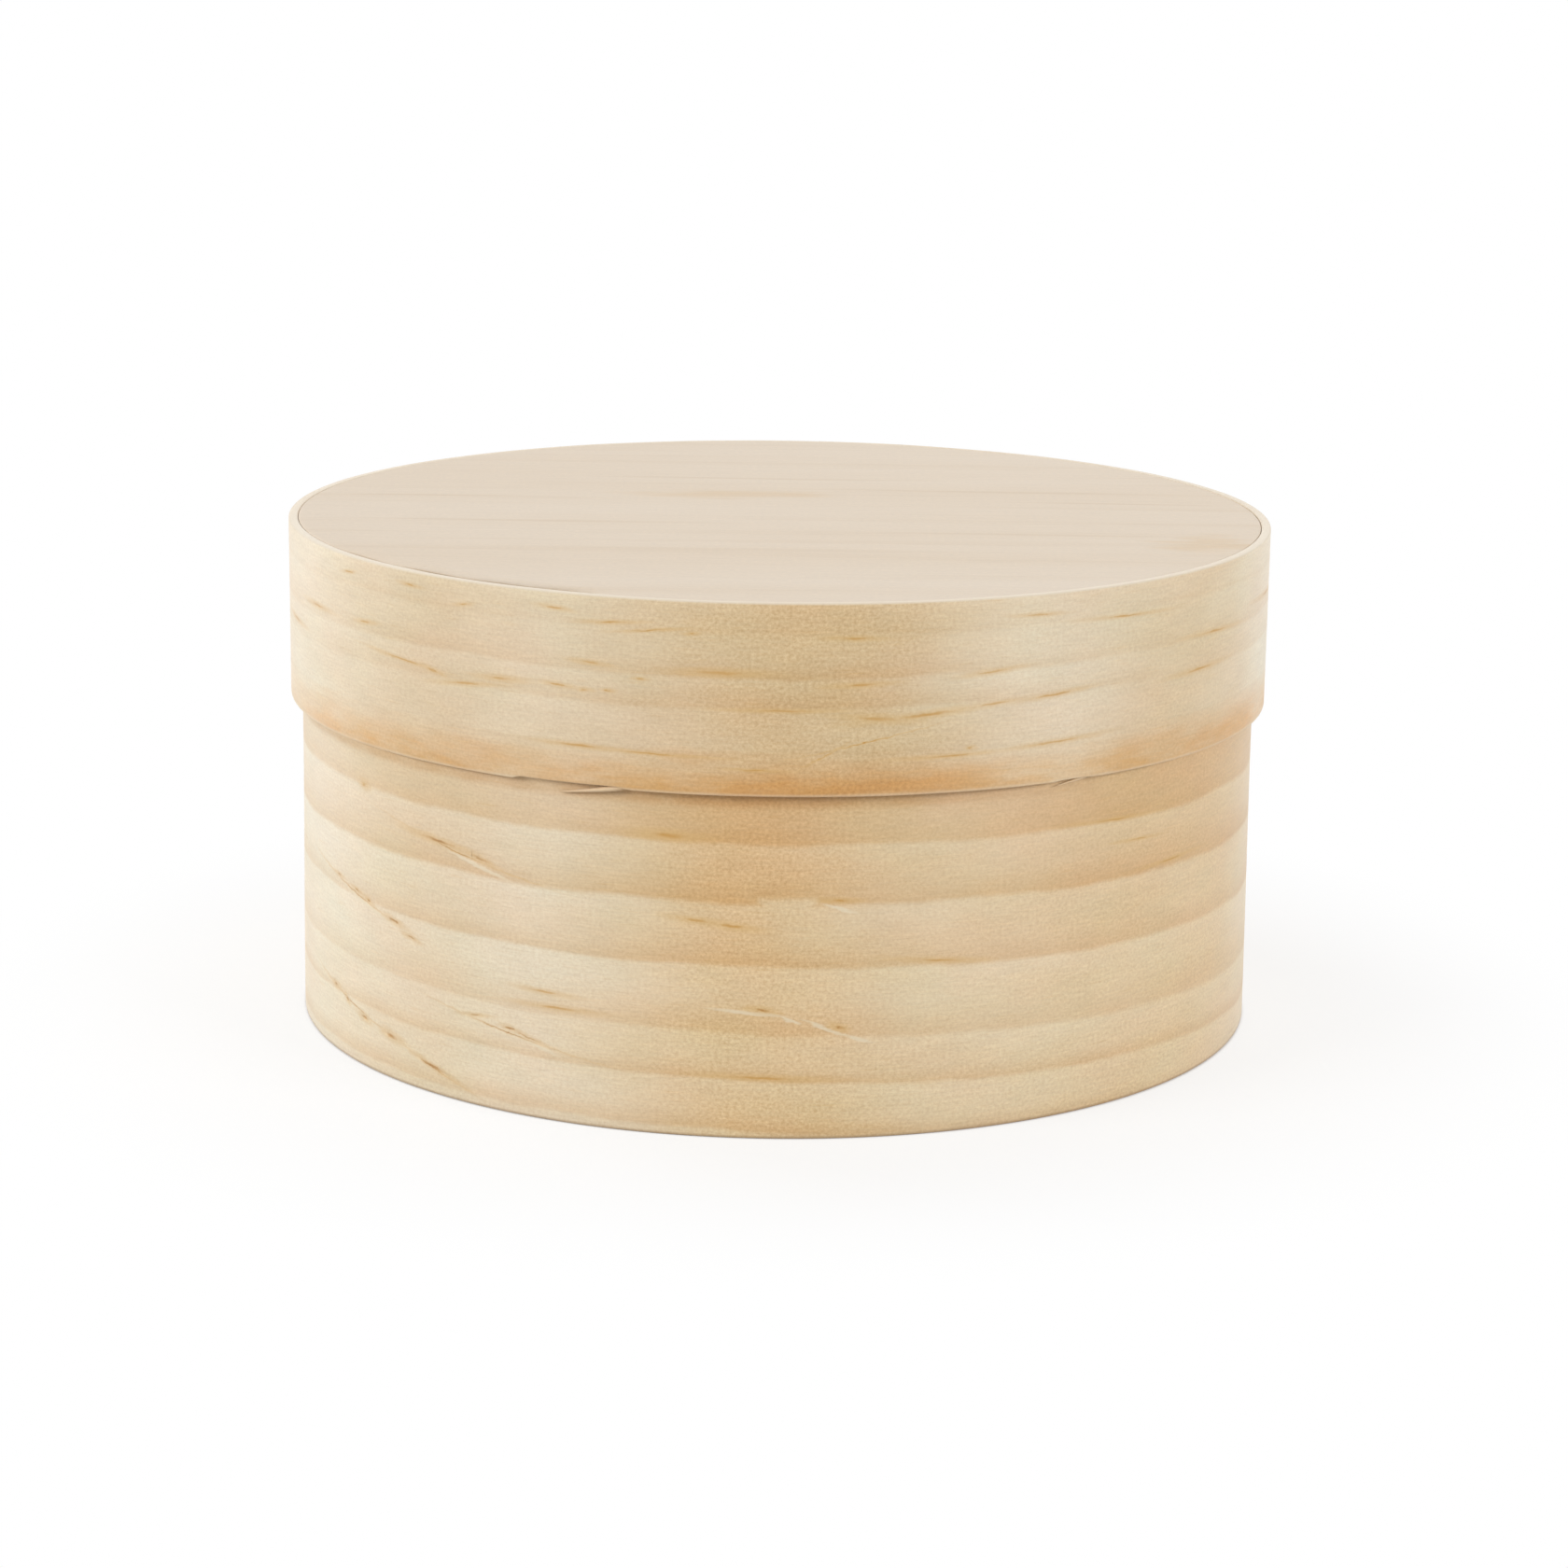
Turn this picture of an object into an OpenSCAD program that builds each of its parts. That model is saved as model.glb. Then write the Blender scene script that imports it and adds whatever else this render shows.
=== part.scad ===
// Round bentwood box. Two pine strips are bent into hoops, and each hoop is closed by a glued
// scarf lap. A pine disc is glued flush into one end of each hoop. The lid's hoop slips over the
// body's hoop, and the lid's disc comes to rest on the body's rim.
// The origin is the centre of the underside, and +Z points up through the lid.

/* [Overall] */
// Outside diameter of the lid
lid_d = 150; // [100:1:250]
// Height of the closed box, from the table to the top of the lid
box_h = 76.5; // [55:0.5:130]

/* [Strips] */
// Thickness of the body's bent strip
body_strip_t = 1.4; // [1.2:0.1:2.4]
// Thickness of the lid's bent strip
lid_strip_t = 1.4; // [1.2:0.1:2.4]
// Radius to which the long edges of both strips are sanded
strip_edge_r = 0.35; // [0.2:0.05:0.5]

/* [Lid] */
// Height of the lid's hoop, which is also the depth it reaches down over the body
lid_h = 27; // [15:0.5:45]
// Thickness of the lid's disc
lid_disc_t = 4; // [2.5:0.25:7]
// Radial play between the lid's hoop and the body's hoop
lid_play = 0.35; // [0.3:0.05:1]

/* [Bottom] */
// Thickness of the bottom disc
bottom_disc_t = 4; // [2.5:0.25:7]

/* [Disc fit] */
// Glue line left round the edge of each disc
disc_glue = 0.1; // [0.08:0.02:0.2]
// Radius to which the edges of both discs are sanded
disc_edge_r = 0.3; // [0.15:0.05:0.6]

/* [Scarf laps] */
// Length of the body's lap, measured round the hoop
body_lap_len = 36; // [25:1:60]
// Length of the lid's lap, measured round the hoop
lid_lap_len = 34; // [25:1:60]
// Direction of the middle of the body's lap, in degrees from +X
body_lap_dir = 104; // [0:1:359]
// Direction of the middle of the lid's lap, in degrees from +X
lid_lap_dir = 72; // [0:1:359]
// Thickness left at the blunt tip of each scarfed end
scarf_tip_t = 0.2; // [0.15:0.05:0.3]
// Glue line between the two scarfed faces
scarf_glue = 0.1; // [0.08:0.01:0.12]
// Width of the open joint at each tip, measured round the hoop
scarf_tip_gap = 0.3; // [0.2:0.05:0.6]

/* [Hidden] */
$fn = 180;
cut_margin = 1;

lid_r = lid_d / 2;
lid_bore_r = lid_r - lid_strip_t;
body_r = lid_bore_r - lid_play;
body_bore_r = body_r - body_strip_t;
body_hoop_h = box_h - lid_disc_t;
lid_hoop_z = box_h - lid_h;

hoop_colour = "#DFC99F";
disc_colour = "#E2D3C0";

function polar(r, a) = [r * cos(a), r * sin(a)];
function arc_degrees(length, r) = length / r * 180 / PI;

// Centre of the arc of radius r that runs anticlockwise from p to q.
function arc_centre(p, q, r) =
    let (chord = q - p, inward = [-chord.y, chord.x] / norm(chord))
    (p + q) / 2 + inward * sqrt(r * r - chord * chord / 4);

// Cross-section of a strip that stands on edge, with its outer face at radius r.
module strip_profile(r, t, h) {
    translate([r - t + strip_edge_r, 0]) square([t - 2 * strip_edge_r, h]);
    translate([r - t, strip_edge_r]) square([t, h - 2 * strip_edge_r]);
    for (x = [r - t + strip_edge_r, r - strip_edge_r], y = [strip_edge_r, h - strip_edge_r])
        translate([x, y]) circle(r = strip_edge_r);
}

// A strip bent to outer radius r, its two ends scarfed, glued over each other and sanded flush.
module lapped_hoop(r, t, h, lap_len, lap_dir) {
    difference() {
        rotate_extrude() strip_profile(r, t, h);
        translate([0, 0, -cut_margin])
            linear_extrude(h + 2 * cut_margin) scarf_line(r, t, lap_len, lap_dir);
    }
}

// Plan of the line that parts the two ends of a strip. It opens into the hoop at the inner tip,
// runs on a slant through the strip as the glue line, and opens outwards at the outer tip.
module scarf_line(r, t, lap_len, lap_dir) {
    lap = arc_degrees(lap_len, r);
    gap = arc_degrees(scarf_tip_gap, r);
    bore_r = r - t;
    inner_a = lap_dir - lap / 2;
    outer_a = lap_dir + lap / 2;
    inner_face_r = r - t / 2;
    inner_tip = polar(bore_r + scarf_tip_t, inner_a);
    outer_tip = polar(r - scarf_tip_t - scarf_glue, outer_a);

    radial_slot(bore_r - cut_margin, bore_r + scarf_tip_t + scarf_glue / 2, inner_a, gap);
    radial_slot(r - scarf_tip_t - scarf_glue / 2, r + cut_margin, outer_a, gap);
    intersection() {
        translate(arc_centre(inner_tip, outer_tip, inner_face_r)) difference() {
            circle(r = inner_face_r + scarf_glue);
            circle(r = inner_face_r);
        }
        wedge(2 * r, lap_dir, lap);
    }
}

// Plan of a wedge of a degrees, from the centre out to radius r, with dir along its middle.
module wedge(r, dir, a) {
    polygon([[0, 0], polar(r, dir - a / 2), polar(r, dir + a / 2)]);
}

// Plan of a narrow slot of a degrees, from radius r0 to radius r1, with dir along its middle.
module radial_slot(r0, r1, dir, a) {
    difference() {
        wedge(r1, dir, a);
        wedge(r0, dir, 2 * a);
    }
}

// A disc that fills a hoop of the given bore, less the glue line, with its edges sanded.
module hoop_disc(bore_r, t) {
    r = bore_r - disc_glue;
    rotate_extrude() {
        square([r - disc_edge_r, t]);
        translate([0, disc_edge_r]) square([r, t - 2 * disc_edge_r]);
        for (y = [disc_edge_r, t - disc_edge_r])
            translate([r - disc_edge_r, y]) circle(r = disc_edge_r);
    }
}

module body_hoop() {
    color(hoop_colour)
        lapped_hoop(body_r, body_strip_t, body_hoop_h, body_lap_len, body_lap_dir);
}

module bottom_disc() {
    color(disc_colour) hoop_disc(body_bore_r, bottom_disc_t);
}

module lid_hoop() {
    color(hoop_colour)
        translate([0, 0, lid_hoop_z])
            lapped_hoop(lid_r, lid_strip_t, lid_h, lid_lap_len, lid_lap_dir);
}

module lid_disc() {
    color(disc_colour)
        translate([0, 0, box_h - lid_disc_t]) hoop_disc(lid_bore_r, lid_disc_t);
}

body_hoop();
bottom_disc();
lid_hoop();
lid_disc();
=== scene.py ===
import math

import bmesh
import bpy
from mathutils import Matrix, Vector, noise


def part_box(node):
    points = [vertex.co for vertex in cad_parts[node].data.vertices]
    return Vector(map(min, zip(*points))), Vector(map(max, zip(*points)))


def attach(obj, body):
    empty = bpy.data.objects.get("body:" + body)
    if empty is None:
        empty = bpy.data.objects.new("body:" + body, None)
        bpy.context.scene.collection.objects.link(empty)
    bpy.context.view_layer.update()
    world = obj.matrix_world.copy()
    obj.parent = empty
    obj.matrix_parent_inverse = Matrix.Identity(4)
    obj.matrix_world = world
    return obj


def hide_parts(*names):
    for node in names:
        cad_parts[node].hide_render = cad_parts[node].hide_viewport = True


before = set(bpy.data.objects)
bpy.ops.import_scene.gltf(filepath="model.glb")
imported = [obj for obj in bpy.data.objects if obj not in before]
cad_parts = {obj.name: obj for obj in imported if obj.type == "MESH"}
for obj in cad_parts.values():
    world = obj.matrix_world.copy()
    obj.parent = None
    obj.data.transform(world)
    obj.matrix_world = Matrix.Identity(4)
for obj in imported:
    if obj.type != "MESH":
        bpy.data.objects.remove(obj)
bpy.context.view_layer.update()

# A round bentwood box of plain pine: two hoops bent from thin strips, two discs glued into them.
# Lengths of the wood are in millimetres here and become metres when a mesh is made.
# A strip is described as if it lay flat: u runs along it, from the middle of the front to the
# right, depth goes in from its outer face, and z is the height above the table.

MM = 0.001
PLANK = "plank"
BAKE_MAP = "OFBake"

# Sizes that the drawing of the part gives too.
STRIP_T = 1.4
STRIP_EDGE_R = 0.2
DISC_EDGE_R = 0.18
DISC_EDGE_BAND = 0.6
EDGE_CHIP = 0.35
BODY_LAP = {"length": 36.0, "direction": 104.0}
LID_LAP = {"length": 34.0, "direction": 72.0}
LAP_TIP_T = 0.2
LAP_GLUE = 0.1
LAP_GAP = 0.3
LAP_RAGGED = 0.22
# Height of the painted shadow of the lid's lower edge on the body.
LID_SHADOW_Z = 48.6

FRONT = 270.0
TURN = 360.0

# Growth rings of the strips, from the foot up: height of the ring's sharp lower edge, tone just above it,
# palest tone at its top, and how far up the dark part reaches.
BODY_RINGS = (
    (1.4, 0.58, 0.04, 2.8), (8.9, 0.64, 0.08, 2.3), (15.6, 0.6, 0.1, 5.0), (25.3, 0.78, 0.28, 3.3),
    (34.3, 0.9, 0.42, 3.8), (42.6, 1.0, 0.8, 2.6), (50.5, 0.9, 0.5, 3.0), (58.0, 0.85, 0.4, 3.5),
    (65.5, 0.8, 0.35, 3.0),
)
LID_RINGS = (
    (47.0, 0.17, 0.08, 2.0), (55.4, 0.34, 0.08, 0.9), (62.1, 0.44, 0.07, 2.4), (66.3, 0.5, 0.08, 2.6),
    (72.4, 0.34, 0.08, 1.0),
)
RING_EDGE_SOFT = 0.32
RING_REST = 0.3

# Marks on the strips, each from (u, z) to (u, z) with its half width. First streaks of resin.
LID_RESIN = (
    (-58.4, 74.6, -56.0, 74.5, 0.16), (-33.1, 74.4, -30.4, 74.2, 0.18),
    (-25.5, 72.8, -21.0, 73.1, 0.15), (-20.3, 71.9, -15.2, 72.4, 0.13),
    (-69.5, 67.5, -66.5, 67.7, 0.19), (-54.0, 63.3, -51.3, 62.7, 0.2),
    (-42.6, 63.4, -38.2, 63.5, 0.24), (-49.5, 61.7, -43.5, 62.2, 0.2),
    (-27.8, 67.2, -24.9, 67.0, 0.19), (-32.4, 63.7, -29.8, 63.5, 0.2),
    (8.6, 71.7, 12.6, 71.6, 0.2), (-11.2, 66.7, -4.4, 66.7, 0.3),
    (9.2, 65.1, 13.8, 65.3, 0.2), (35.4, 73.7, 39.6, 73.6, 0.16),
    (49.0, 72.1, 57.4, 71.9, 0.15), (28.0, 66.0, 32.8, 66.4, 0.2),
    (71.0, 66.9, 79.0, 66.7, 0.18), (66.5, 61.8, 74.5, 62.0, 0.22),
    (37.0, 61.9, 43.4, 62.4, 0.2), (28.5, 61.5, 33.0, 61.9, 0.16),
    (11.5, 60.6, 17.0, 60.2, 0.34), (16.0, 60.3, 25.6, 61.2, 0.28),
    (-3.5, 61.6, 5.0, 61.6, 0.16), (20.5, 54.7, 28.0, 54.9, 0.18),
    (36.0, 55.2, 45.0, 55.6, 0.18), (-31.5, 55.4, -24.5, 55.2, 0.2), (-22.0, 55.1, -13.0, 54.9, 0.14),
    (-73.4, 74.1, -71.4, 74.3, 0.13), (-47.8, 73.0, -45.8, 73.3, 0.13), (-27.6, 63.2, -26.4, 63.2, 0.15),
    (-24.0, 63.4, -23.0, 63.4, 0.14), (-19.6, 65.3, -18.4, 65.3, 0.14), (-12.6, 72.0, -11.4, 72.0, 0.14),
    (-63.0, 63.9, -55.0, 63.3, 0.14), (27.0, 55.7, 27.8, 55.7, 0.2), (-5.0, 53.3, -1.0, 53.2, 0.12),
    (5.0, 54.5, 8.2, 56.2, 0.07), (8.0, 56.2, 17.0, 58.2, 0.06),
    (-86.0, 67.4, -81.0, 67.3, 0.22), (-99.0, 63.3, -93.0, 63.1, 0.22),
    (96.0, 68.3, 106.0, 68.0, 0.22), (130.0, 58.2, 141.0, 58.6, 0.22), (117.0, 72.8, 121.0, 72.7, 0.24),
    (-150.0, 64.4, -142.0, 64.2, 0.24), (-184.0, 70.1, -179.0, 70.0, 0.22), (-131.0, 71.6, -128.0, 71.5, 0.24),
    (168.0, 66.3, 177.0, 66.6, 0.22), (-121.0, 57.0, -111.0, 56.8, 0.22), (190.0, 61.0, 194.0, 60.9, 0.24),
)
BODY_RESIN = (
    (-12.8, 31.5, -8.7, 31.1, 0.26), (-8.2, 30.9, -3.9, 30.5, 0.3), (-17.4, 43.2, -12.2, 43.1, 0.42),
    (-35.8, 18.9, -30.8, 18.7, 0.2), (-34.8, 16.7, -27.6, 16.7, 0.22), (20.2, 25.5, 27.0, 24.9, 0.22),
    (-70.6, 42.8, -69.2, 42.6, 0.4), (7.5, 34.5, 10.6, 34.4, 0.2), (48.0, 42.3, 57.0, 42.0, 0.16),
    (62.0, 34.0, 69.0, 34.1, 0.16), (55.0, 38.6, 60.0, 38.4, 0.14), (-6.0, 9.0, 3.0, 8.8, 0.24),
    (-125.0, 29.0, -116.0, 28.6, 0.24), (120.0, 19.0, 131.0, 19.5, 0.24), (101.0, 44.8, 109.0, 45.1, 0.22),
    (158.0, 37.2, 168.0, 37.0, 0.24), (-176.0, 12.4, -166.0, 12.1, 0.24), (-148.0, 46.8, -140.0, 46.4, 0.24),
)
# Short dark slits that lie in rows aslant across the body's grain.
BODY_SLITS = (
    (-56.8, 38.2, -48.4, 37.4, 0.34), (-46.4, 37.0, -42.6, 36.0, 0.3),
    (-79.9, 27.4, -77.6, 27.2, 0.2), (-73.6, 26.6, -71.2, 26.2, 0.16), (-69.9, 25.8, -68.0, 25.3, 0.24),
    (-63.8, 24.3, -60.6, 23.7, 0.3), (-59.4, 22.6, -57.0, 22.1, 0.24),
    (-81.0, 10.2, -79.2, 10.0, 0.3), (-76.4, 9.3, -75.2, 8.6, 0.3), (-71.6, 7.7, -69.2, 7.3, 0.36),
    (-64.6, 6.7, -61.0, 6.2, 0.42), (-56.8, 4.9, -50.6, 3.3, 0.28),
    (-46.8, 13.3, -43.4, 13.6, 0.2), (-39.9, 12.7, -38.0, 12.4, 0.28), (-38.2, 12.4, -33.6, 11.1, 0.2),
    (-2.9, 18.9, -0.3, 18.5, 0.3), (8.3, 16.5, 9.8, 16.0, 0.34),
    (-57.0, 38.4, -41.0, 35.4, 0.1), (-81.0, 27.5, -65.0, 24.4, 0.09), (-81.0, 10.2, -66.0, 7.1, 0.1),
    (-58.0, 5.2, -49.0, 2.6, 0.12), (-47.0, 13.2, -32.0, 10.6, 0.09),
    (146.0, 31.0, 150.0, 30.4, 0.3), (154.0, 29.6, 157.0, 28.9, 0.26),
    (-168.0, 21.5, -163.0, 20.9, 0.32), (-158.0, 20.0, -155.0, 19.4, 0.26),
)
# Lines of pale fibre torn up along those rows.
BODY_TORN = (
    ((-50.0, 36.7), (-39.6, 34.2)), ((-76.0, 26.2), (-64.0, 23.8)), ((-70.0, 6.9), (-61.0, 5.7), (-54.0, 3.6)),
    ((-38.0, 11.9), (-31.4, 9.8)), ((-8.3, 18.7), (1.2, 17.9), (3.4, 16.8)),
    ((4.6, 17.2), (10.2, 14.9), (13.6, 14.0)), ((7.0, 33.9), (11.3, 32.6)),
    ((145.0, 30.6), (158.0, 28.2)), ((-169.0, 21.0), (-154.0, 18.8)),
)
# A place where one ring of the body steps up, and the height of that step.
BODY_RING_STEP = (-3.2, 35.2, 6.8, 35.2, 2.0)
RING_STEP_H = 0.95

# Share of the whiter colour along the front of each strip, at places along u. It is partly paler wood and partly
# painted sheen: the washed-out far sides and the bands of highlight.
BODY_WHITER_AND_SHEEN = (
    (-125.0, 0.35), (-95.0, 1.0), (-73.0, 0.84), (-52.0, 0.5), (-31.0, 0.95), (-11.0, 0.0), (4.0, 0.0),
    (21.0, 0.48), (42.0, 0.24), (62.0, 0.24), (82.0, 0.2), (97.0, 0.45), (125.0, 0.25),
)
LID_WHITER_AND_SHEEN = (
    (-125.0, 0.3), (-95.0, 0.9), (-73.0, 0.64), (-52.0, 0.3), (-31.0, 0.52), (-10.0, 0.2), (4.0, 0.0),
    (20.0, 0.12), (38.0, 0.8), (62.0, 0.2), (82.0, 0.42), (97.0, 0.95), (125.0, 0.35),
)
DRIFT_SPAN = 130.0
# Strength of the warm lower edge of the lid, at places along u.
LID_GLOW = ((-95.0, 0.35), (-72.0, 1.0), (-54.0, 1.0), (-35.0, 0.66), (-14.0, 1.0), (30.0, 0.95), (60.0, 0.9))
# How the whiter colour with its painted sheen weakens the rings, and how much of it is left low on a strip.
WHITER_AND_SHEEN_LATE_SHARE = 0.62
WHITER_AND_SHEEN_EARLY_CUT = 0.35
LOW_WHITER_AND_SHEEN_SHARE = 0.7

# Splinters on the lid's lower edge, from the root (u, z) to the free tip (u, z), with half the thickness
# at the root, and the places where they have left the edge: from u, to u, height.
LID_SPLINTERS = ((-21.2, 49.95, -31.4, 48.2, 0.52), (47.6, 49.9, 41.6, 48.75, 0.28))
LID_NOTCHES = ((-38.5, -21.6, 0.34), (41.0, 47.0, 0.16))

# Warm streaks and lines of grain on the discs, from (x, y) to (x, y) with half the width.
LID_DISC_STREAKS = ((-24.0, 15.0, 6.0, 18.0, 4.5), (-8.0, 17.5, 9.0, 18.5, 3.0), (58.0, -22.0, 70.0, -26.0, 9.0))
LID_DISC_LINES = (
    (5.0, 22.5, 66.0, 21.5, 0.9), (-70.0, 12.0, -38.0, 12.6, 0.8), (36.0, 12.3, 70.0, 11.6, 0.8),
    (-66.0, -10.0, -8.0, -10.6, 0.9), (14.0, -17.0, 60.0, -17.6, 0.9), (-30.0, 33.0, 24.0, 32.4, 0.9),
)
BOTTOM_DISC_LINES = ((-60.0, 8.0, 20.0, 8.8, 0.9), (-20.0, -34.0, 50.0, -33.0, 0.9), (-45.0, 40.0, 30.0, 39.0, 0.8))
BOTTOM_DISC_STREAKS = ((-40.0, -20.0, 5.0, -16.0, 3.5), (10.0, 31.0, 48.0, 33.0, 3.0))

# Relief of the marks, and the depth within which a point counts as on the outer face.
SLIT_DEPTH = 0.14
SLIT_WIDEST = 0.36
TORN_H = 0.05
OUTER_DEPTH = 0.05

# Camera of the photograph: image size in pixels, focal length in pixels, and its place.
IMAGE_PX = 1680.0
FOCAL_PX = 4192.2
AXIS_OFFSET_PX = (-7.7, -30.1)
SENSOR_MM = 36.0
CAMERA_PITCH = 13.043
CAMERA_ROLL = 0.727
CAMERA_DISTANCE = 610.2
CAMERA_TARGET_Z = 38.0
AMBIENT = 0.44
FLOOR_GREY = 0.44
FLOOR_WHITE = 0.99
FLOOR_LIFT = 0.7
FLOOR_CONTACT_LIFT = 0.2


def smooth_step(low, high, x):
    t = min(max((x - low) / (high - low), 0.0), 1.0)
    return t * t * (3.0 - 2.0 * t)


def wave(seed, x, y=0.0):
    """Smooth noise from about -1 to 1."""
    return noise.noise((x + 13.7 * seed, y - 7.3 * seed, 3.1 * seed))


def rgb(red, green, blue):
    """A colour written in sRGB, as the linear values that a shader takes."""
    def linear(c):
        c /= 255.0
        return c / 12.92 if c <= 0.04045 else ((c + 0.055) / 1.055) ** 2.4
    return (linear(red), linear(green), linear(blue), 1.0)

# Colours of the wood.
BODY_WOOD = rgb(236, 210, 168)
# The lid's pine is a little darker than the body's: partly its own tone, partly painted shade, as the lid stands
# further from the floor's light.
LID_WOOD_AND_SHADE = rgb(223, 196, 154)
RING_TINT = (0.80, 0.63, 0.43, 1.0)
# The whiter colour: partly paler wood, partly painted sheen where light washes out the strips' sides and highlight
# bands.
WHITER_WOOD_AND_SHEEN = rgb(244, 234, 214)
WARM_EDGE = (0.91, 0.66, 0.39, 1.0)
RESIN = rgb(202, 150, 70)
RESIN_HALO = rgb(219, 179, 112)
SLIT = rgb(194, 140, 66)
SLIT_MIDDLE = rgb(146, 98, 44)
TORN_FIBRE = rgb(240, 224, 194)
# Painted highlight on the lid's eased lower edge.
LID_FOOT_HIGHLIGHT = rgb(242, 229, 202)
RIM_TOP = rgb(233, 220, 200)
# Painted shade on the body's lower edge, where it meets the floor.
BODY_FOOT_SHADE = rgb(150, 110, 70)
GLUE_STAIN = rgb(198, 162, 108)
FUZZ_DARK = (0.83, 0.74, 0.63, 1.0)
FUZZ_LIGHT = (1.14, 1.19, 1.245, 1.0)
# Tint of the painted shadow that the lid casts on the body.
PAINTED_LID_SHADOW = (0.9, 0.8, 0.68, 1.0)
PINKER = (1.01, 0.985, 0.97, 1.0)
YELLOWER = (0.99, 1.01, 0.99, 1.0)
DISC_PALE = rgb(227, 212, 193)
DISC_DARKER = rgb(221, 202, 178)
DISC_LINE = rgb(210, 188, 160)
DISC_WARM = rgb(216, 187, 146)
DISC_EDGE_GRAIN_AND_SHADE = rgb(166, 138, 104)


class Nodes:
    """Adds nodes to one node tree and wires them together."""

    def __init__(self, tree):
        self.tree = tree
        tree.nodes.clear()

    def put(self, socket, value):
        if isinstance(value, bpy.types.NodeSocket):
            self.tree.links.new(value, socket)
        elif value is not None:
            socket.default_value = value

    def add(self, kind, inputs=None, **settings):
        node = self.tree.nodes.new("ShaderNode" + kind)
        for key, value in settings.items():
            setattr(node, key, value)
        for key, value in (inputs or {}).items():
            self.put(node.inputs[key], value)
        return node

    def math(self, operation, a, b=None, clamp=False):
        node = self.add("Math", {0: a, 1: b}, operation=operation, use_clamp=clamp)
        return node.outputs[0]

    def scaled(self, vector, scale):
        return self.add("VectorMath", {0: vector, 1: scale}, operation="MULTIPLY").outputs[0]

    def moved(self, vector, step):
        return self.add("VectorMath", {0: vector, 1: step}, operation="ADD").outputs[0]

    def noise(self, vector, scale, detail=2.0, roughness=0.5, output="Fac"):
        inputs = {"Vector": self.scaled(vector, scale), "Scale": 1.0, "Detail": detail, "Roughness": roughness}
        return self.add("TexNoise", inputs).outputs[output]

    def spread(self, value, low, high, to_low=0.0, to_high=1.0, kind="LINEAR"):
        node = self.add("MapRange", {0: value, 1: low, 2: high, 3: to_low, 4: to_high}, interpolation_type=kind)
        return node.outputs[0]

    def mix(self, factor, a, b, blend="MIX"):
        node = self.add("Mix", {0: factor, 6: a, 7: b}, data_type="RGBA", blend_type=blend)
        return node.outputs[2]

    def ramp(self, factor, stops, kind="LINEAR"):
        node = self.add("ValToRGB", {0: factor})
        node.color_ramp.interpolation = kind
        elements = node.color_ramp.elements
        elements.remove(elements[1])
        for k, (place, value) in enumerate(stops):
            element = elements.new(place) if k else elements[0]
            element.position = place
            element.color = (value, value, value, 1.0)
        return node.outputs[0]

    def split(self, vector):
        return self.add("SeparateXYZ", {0: vector}).outputs


def ring_stops(rings, low, high):
    """Tone over the height of a strip. Each ring darkens downwards and ends in a sharp lower edge."""
    stops, under = [], rings[0][2]
    for edge, late, early, reach in rings:
        stops.append((edge - RING_EDGE_SOFT, under))
        stops.append((edge + RING_EDGE_SOFT, late))
        stops.append((edge + reach, early + RING_REST * (late - early)))
        under = early
    stops.append((high, under))
    span = high - low
    return [(max(0.0, (z - low) / span), value) for z, value in stops]


def nearest_mark(g, vector, marks, reach_in=0.6):
    """Distance to the nearest of some marks, in units in which a mark's own edge is at 1."""
    nearest = None
    for u0, z0, u1, z1, half_width in marks:
        run, rise = u1 - u0, z1 - z0
        mapping = g.add("Mapping", {
            "Vector": vector,
            "Location": ((u0 + u1) / 2, 0.0, (z0 + z1) / 2),
            "Rotation": (0.0, -math.atan2(rise, run), 0.0),
            "Scale": (math.hypot(run, rise) / 2, reach_in, half_width),
        }, vector_type="TEXTURE")
        distance = g.add("VectorMath", {0: mapping.outputs[0]}, operation="LENGTH").outputs["Value"]
        nearest = distance if nearest is None else g.math("MINIMUM", nearest, distance)
    return nearest


def path_marks(paths, half_width):
    """The straight pieces of some paths as marks that overlap a little."""
    marks = []
    for path in paths:
        for (u0, z0), (u1, z1) in zip(path, path[1:]):
            marks.append((1.15 * u0 - 0.15 * u1, 1.15 * z0 - 0.15 * z1,
                          1.15 * u1 - 0.15 * u0, 1.15 * z1 - 0.15 * z0, half_width))
    return marks


def new_material(name):
    material = bpy.data.materials.new(name)
    material.use_nodes = True
    return material, Nodes(material.node_tree)


def finish_wood(g, colour, roughness, height, relief_mm, specular, sheen, along_fibre):
    """The surface of sanded wood. Its gloss spreads across the fibre, more than along it."""
    bump = g.add("Bump", {"Strength": 1.0, "Distance": relief_mm * MM, "Height": height})
    shader = g.add("BsdfPrincipled", {
        "Base Color": colour,
        "Roughness": roughness,
        "Specular IOR Level": specular,
        "Sheen Weight": sheen,
        "Sheen Roughness": 0.4,
        "Anisotropic": along_fibre,
        "Anisotropic Rotation": 0.25,
        "Normal": bump.outputs[0],
    })
    g.add("OutputMaterial", {0: shader.outputs[0]})


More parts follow.
